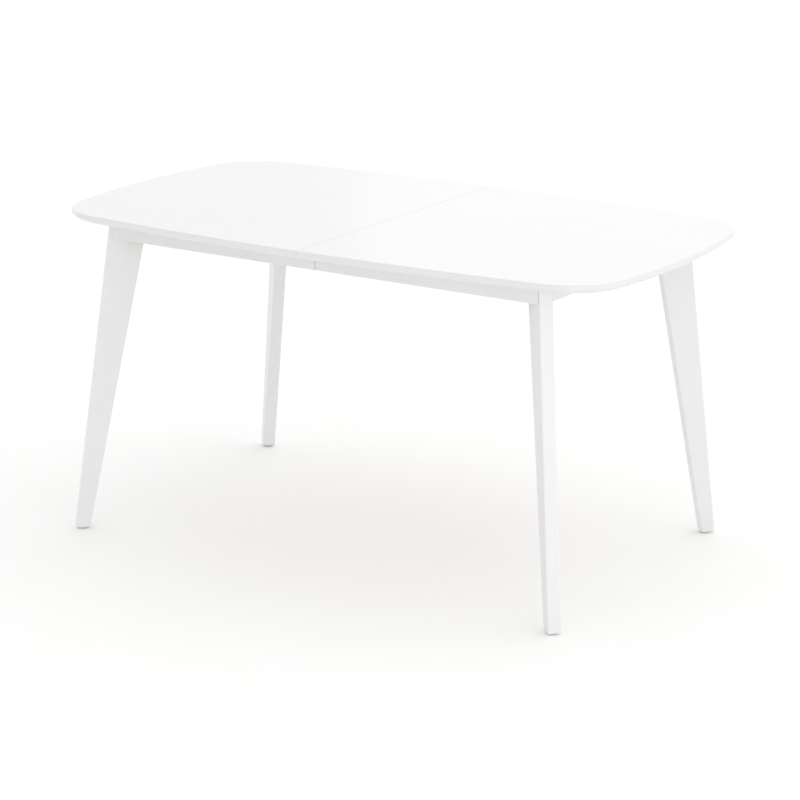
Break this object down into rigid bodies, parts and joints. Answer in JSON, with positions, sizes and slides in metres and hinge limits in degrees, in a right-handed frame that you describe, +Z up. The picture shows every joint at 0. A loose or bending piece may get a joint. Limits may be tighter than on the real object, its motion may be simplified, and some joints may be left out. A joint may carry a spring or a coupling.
{
  "type": "extendable dining table",
  "caption": "Extendable dining table with a bowed split top, splayed plank legs, geared runners and a folded leaf stowed below.",
  "frame": {"origin": "on the floor, under the middle of the closed table", "axes": "+X along the table's length towards the right half, +Y across it towards the back, +Z up"},
  "size_m": [1.44, 0.85, 0.75],
  "materials": {
    "lacquered_top": "white satin lacquer on board, sprayed on top, edges and underside",
    "lacquered_frame": "white satin lacquer on solid wood",
    "beech": "bare planed beech",
    "zinc_steel": "zinc-plated steel",
    "nylon": "natural moulded nylon"
  },
  "bodies": {
    "centre": {"cradle_bar_left": "beech", "cradle_bar_right": "beech", "leaf_board_lower": "lacquered_top", "leaf_board_upper": "lacquered_top", "leaf_hinge_left": "zinc_steel", "leaf_hinge_right": "zinc_steel", "middle_runner_back": "beech", "middle_runner_front": "beech", "pinion_axle_back": "zinc_steel", "pinion_axle_front": "zinc_steel"},
    "left_half": {"corner_block_left_back": "beech", "corner_block_left_front": "beech", "dowel_1": "beech", "dowel_2": "beech", "dowel_3": "beech", "end_apron_left": "lacquered_frame", "glide_left_back": "nylon", "glide_left_front": "nylon", "leg_bolt_left_back": "zinc_steel", "leg_bolt_left_front": "zinc_steel", "leg_left_back": "lacquered_frame", "leg_left_front": "lacquered_frame", "lock_base_back": "zinc_steel", "lock_base_front": "zinc_steel", "rack_left_back": "nylon", "rack_left_front": "nylon", "runner_left_back": "beech", "runner_left_front": "beech", "side_apron_left_back": "lacquered_frame", "side_apron_left_front": "lacquered_frame", "tabletop_left": "lacquered_top"},
    "right_half": {"corner_block_right_back": "beech", "corner_block_right_front": "beech", "end_apron_right": "lacquered_frame", "glide_right_back": "nylon", "glide_right_front": "nylon", "leg_bolt_right_back": "zinc_steel", "leg_bolt_right_front": "zinc_steel", "leg_right_back": "lacquered_frame", "leg_right_front": "lacquered_frame", "lock_strike_back": "zinc_steel", "lock_strike_front": "zinc_steel", "rack_right_back": "nylon", "rack_right_front": "nylon", "runner_right_back": "beech", "runner_right_front": "beech", "side_apron_right_back": "lacquered_frame", "side_apron_right_front": "lacquered_frame", "tabletop_right": "lacquered_top"},
    "pinion_front_gear": {"pinion_front": "nylon"},
    "pinion_back_gear": {"pinion_back": "nylon"},
    "lever_front": {"lock_lever_front": "zinc_steel"},
    "lever_back": {"lock_lever_back": "zinc_steel"}
  },
  "joints": [
    {"name": "left_slide", "type": "slide", "parent": "centre", "child": "left_half", "axis": [-1, 0, 0], "range_m": [0, 0.225]},
    {"name": "right_slide", "type": "slide", "parent": "centre", "child": "right_half", "axis": [1, 0, 0], "range_m": [0, 0.225]},
    {"name": "pinion_front_turn", "type": "hinge", "parent": "centre", "child": "pinion_front_gear", "pos_m": [0, -0.262, 0.721], "axis": [0, 0, -1], "range_deg": [0, 1080]},
    {"name": "pinion_back_turn", "type": "hinge", "parent": "centre", "child": "pinion_back_gear", "pos_m": [0, 0.262, 0.721], "axis": [0, 0, 1], "range_deg": [0, 1080]},
    {"name": "lock_lever_front_swing", "type": "hinge", "parent": "left_half", "child": "lever_front", "pos_m": [-0.015, -0.3285, 0.728], "axis": [0, 0, -1], "range_deg": [0, 90]},
    {"name": "lock_lever_back_swing", "type": "hinge", "parent": "left_half", "child": "lever_back", "pos_m": [-0.015, 0.3285, 0.728], "axis": [0, 0, 1], "range_deg": [0, 90]}
  ],
  "couplings": [
    {"joint": "right_slide", "follows": "left_slide", "ratio": 1},
    {"joint": "pinion_front_turn", "follows": "left_slide", "rad_per_m": 83.333},
    {"joint": "pinion_back_turn", "follows": "left_slide", "rad_per_m": 83.333}
  ]
}
